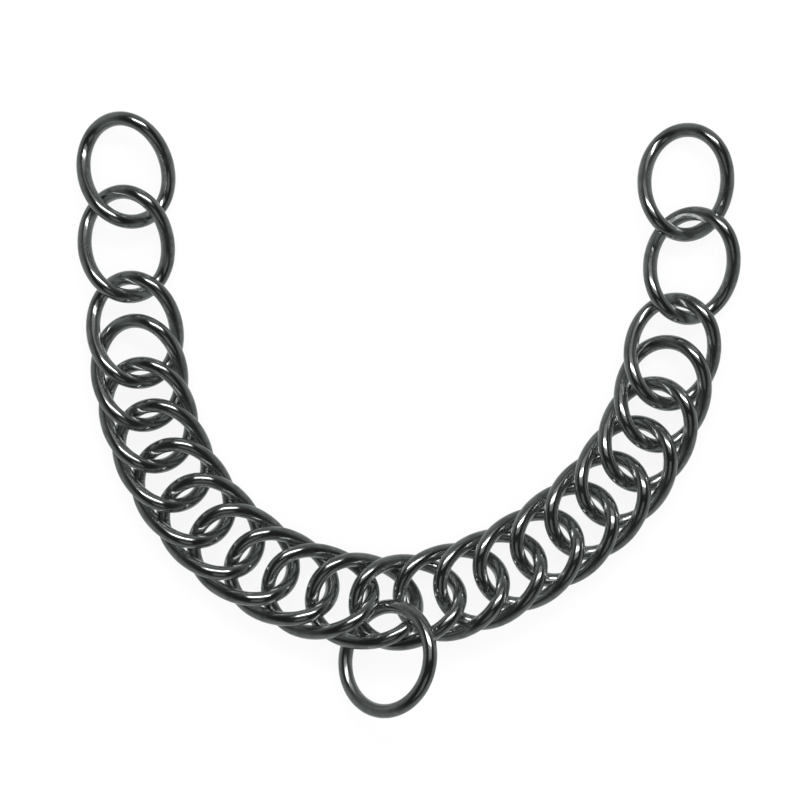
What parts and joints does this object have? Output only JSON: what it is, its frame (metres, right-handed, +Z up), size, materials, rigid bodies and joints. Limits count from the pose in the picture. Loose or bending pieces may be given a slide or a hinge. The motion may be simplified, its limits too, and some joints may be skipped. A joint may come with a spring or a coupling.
{
  "type": "curb chain",
  "caption": "Double-link curb chain of twisted oval steel rings laid flat in a U, with single rings at both ends and a round lip-strap ring at the middle.",
  "frame": {"origin": "middle of the U's bounding box, on the surface that the chain lies on", "axes": "+Z up from the table, +X across the U from the left end to the right end, +Y towards the open end of the U, where the hook rings are"},
  "size_m": [0.1252, 0.1141, 0.0151],
  "materials": {
    "chain_steel": "polished",
    "strap_ring_steel": "polished"
  },
  "bodies": {
    "chain_ring_01": {"chain_ring_01": "chain_steel"},
    "chain_ring_02": {"chain_ring_02": "chain_steel"},
    "chain_ring_03": {"chain_ring_03": "chain_steel"},
    "chain_ring_04": {"chain_ring_04": "chain_steel"},
    "chain_ring_05": {"chain_ring_05": "chain_steel"},
    "chain_ring_06": {"chain_ring_06": "chain_steel"},
    "chain_ring_07": {"chain_ring_07": "chain_steel"},
    "chain_ring_08": {"chain_ring_08": "chain_steel"},
    "chain_ring_09": {"chain_ring_09": "chain_steel"},
    "chain_ring_10": {"chain_ring_10": "chain_steel"},
    "chain_ring_11": {"chain_ring_11": "chain_steel"},
    "chain_ring_12": {"chain_ring_12": "chain_steel"},
    "chain_ring_13": {"chain_ring_13": "chain_steel"},
    "chain_ring_14": {"chain_ring_14": "chain_steel"},
    "chain_ring_15": {"chain_ring_15": "chain_steel"},
    "chain_ring_16": {"chain_ring_16": "chain_steel"},
    "chain_ring_17": {"chain_ring_17": "chain_steel"},
    "chain_ring_18": {"chain_ring_18": "chain_steel"},
    "chain_ring_19": {"chain_ring_19": "chain_steel"},
    "chain_ring_20": {"chain_ring_20": "chain_steel"},
    "chain_ring_21": {"chain_ring_21": "chain_steel"},
    "chain_ring_22": {"chain_ring_22": "chain_steel"},
    "chain_ring_23": {"chain_ring_23": "chain_steel"},
    "chain_ring_24": {"chain_ring_24": "chain_steel"},
    "lip_strap_ring": {"lip_strap_ring": "strap_ring_steel"}
  },
  "joints": [
    {"name": "bend_12_13", "type": "hinge", "parent": "chain_ring_12", "child": "chain_ring_13", "pos_m": [-0.00416, -0.0352, 0.00559], "axis": [0, 0, 1], "range_deg": [-5, 1]},
    {"name": "bend_13_14", "type": "hinge", "parent": "chain_ring_13", "child": "chain_ring_14", "pos_m": [0.00407, -0.03426, 0.00505], "axis": [0, 0, 1], "range_deg": [-24, 0]},
    {"name": "fold_14_15", "type": "hinge", "parent": "chain_ring_14", "child": "chain_ring_15", "pos_m": [0.01192, -0.03207, 0.00467], "axis": [0.3352, -0.9422, 0], "range_deg": [-3, 8]},
    {"name": "bend_15_16", "type": "hinge", "parent": "chain_ring_15", "child": "chain_ring_16", "pos_m": [0.01923, -0.02887, 0.00486], "axis": [0, 0, 1], "range_deg": [-22, 4]},
    {"name": "fold_16_17", "type": "hinge", "parent": "chain_ring_16", "child": "chain_ring_17", "pos_m": [0.02621, -0.02469, 0.00462], "axis": [0.5628, -0.8266, 0], "range_deg": [-9, 10]},
    {"name": "bend_17_18", "type": "hinge", "parent": "chain_ring_17", "child": "chain_ring_18", "pos_m": [0.03265, -0.01972, 0.00443], "axis": [0, 0, 1], "range_deg": [-24, 4]},
    {"name": "fold_18_19", "type": "hinge", "parent": "chain_ring_18", "child": "chain_ring_19", "pos_m": [0.03836, -0.01394, 0.00424], "axis": [0.7614, -0.6483, 0], "range_deg": [-7, 8]},
    {"name": "bend_19_20", "type": "hinge", "parent": "chain_ring_19", "child": "chain_ring_20", "pos_m": [0.04305, -0.00731, 0.00409], "axis": [0, 0, 1], "range_deg": [-24, 3]},
    {"name": "fold_20_21", "type": "hinge", "parent": "chain_ring_20", "child": "chain_ring_21", "pos_m": [0.04653, 0.00003, 0.00399], "axis": [0.9372, -0.3488, 0], "range_deg": [-7, 7]},
    {"name": "bend_21_22", "type": "hinge", "parent": "chain_ring_21", "child": "chain_ring_22", "pos_m": [0.04886, 0.00782, 0.00395], "axis": [0, 0, 1], "range_deg": [-15, 7]},
    {"name": "fold_22_23", "type": "hinge", "parent": "chain_ring_22", "child": "chain_ring_23", "pos_m": [0.0516, 0.01991, 0.00395], "axis": [0.9909, -0.1349, 0], "range_deg": [-32, 35]},
    {"name": "bend_23_24", "type": "hinge", "parent": "chain_ring_23", "child": "chain_ring_24", "pos_m": [0.05288, 0.03589, 0.00395], "axis": [0, 0, 1], "range_deg": [-35, 25]},
    {"name": "bend_12_11", "type": "hinge", "parent": "chain_ring_12", "child": "chain_ring_11", "pos_m": [-0.0124, -0.03436, 0.00556], "axis": [0, 0, -1], "range_deg": [-9, 0]},
    {"name": "fold_11_10", "type": "hinge", "parent": "chain_ring_11", "child": "chain_ring_10", "pos_m": [-0.02019, -0.0321, 0.00527], "axis": [0.3453, 0.9385, 0], "range_deg": [-2, 2]},
    {"name": "bend_10_09", "type": "hinge", "parent": "chain_ring_10", "child": "chain_ring_09", "pos_m": [-0.02737, -0.02867, 0.00478], "axis": [0, 0, -1], "range_deg": [-18, 2]},
    {"name": "bend_09_08", "type": "hinge", "parent": "chain_ring_09", "child": "chain_ring_08", "pos_m": [-0.03401, -0.02393, 0.00462], "axis": [0, 0, -1], "range_deg": [-15, 0]},
    {"name": "bend_08_07", "type": "hinge", "parent": "chain_ring_08", "child": "chain_ring_07", "pos_m": [-0.03963, -0.01808, 0.00443], "axis": [0, 0, -1], "range_deg": [-14, 1]},
    {"name": "fold_07_06", "type": "hinge", "parent": "chain_ring_07", "child": "chain_ring_06", "pos_m": [-0.04418, -0.01135, 0.00424], "axis": [0.8725, 0.4886, 0], "range_deg": [-2, 2]},
    {"name": "bend_06_05", "type": "hinge", "parent": "chain_ring_06", "child": "chain_ring_05", "pos_m": [-0.04759, -0.00397, 0.00409], "axis": [0, 0, -1], "range_deg": [-15, 2]},
    {"name": "fold_05_04", "type": "hinge", "parent": "chain_ring_05", "child": "chain_ring_04", "pos_m": [-0.04985, 0.00384, 0.00399], "axis": [0.9781, 0.2079, 0], "range_deg": [-6, 3]},
    {"name": "bend_04_03", "type": "hinge", "parent": "chain_ring_04", "child": "chain_ring_03", "pos_m": [-0.05112, 0.01188, 0.00395], "axis": [0, 0, -1], "range_deg": [-12, 10]},
    {"name": "fold_03_02", "type": "hinge", "parent": "chain_ring_03", "child": "chain_ring_02", "pos_m": [-0.05237, 0.02402, 0.00395], "axis": [0.9986, 0.0523, 0], "range_deg": [-30, 36]},
    {"name": "bend_02_01", "type": "hinge", "parent": "chain_ring_02", "child": "chain_ring_01", "pos_m": [-0.05323, 0.03905, 0.00395], "axis": [0, 0, -1], "range_deg": [-34, 36]},
    {"name": "lip_strap_ring_swing", "type": "hinge", "parent": "chain_ring_12", "child": "lip_strap_ring", "pos_m": [-0.00387, -0.0369, 0.006], "axis": [-0.766, -0.6428, 0], "range_deg": [0, 35]}
  ]
}
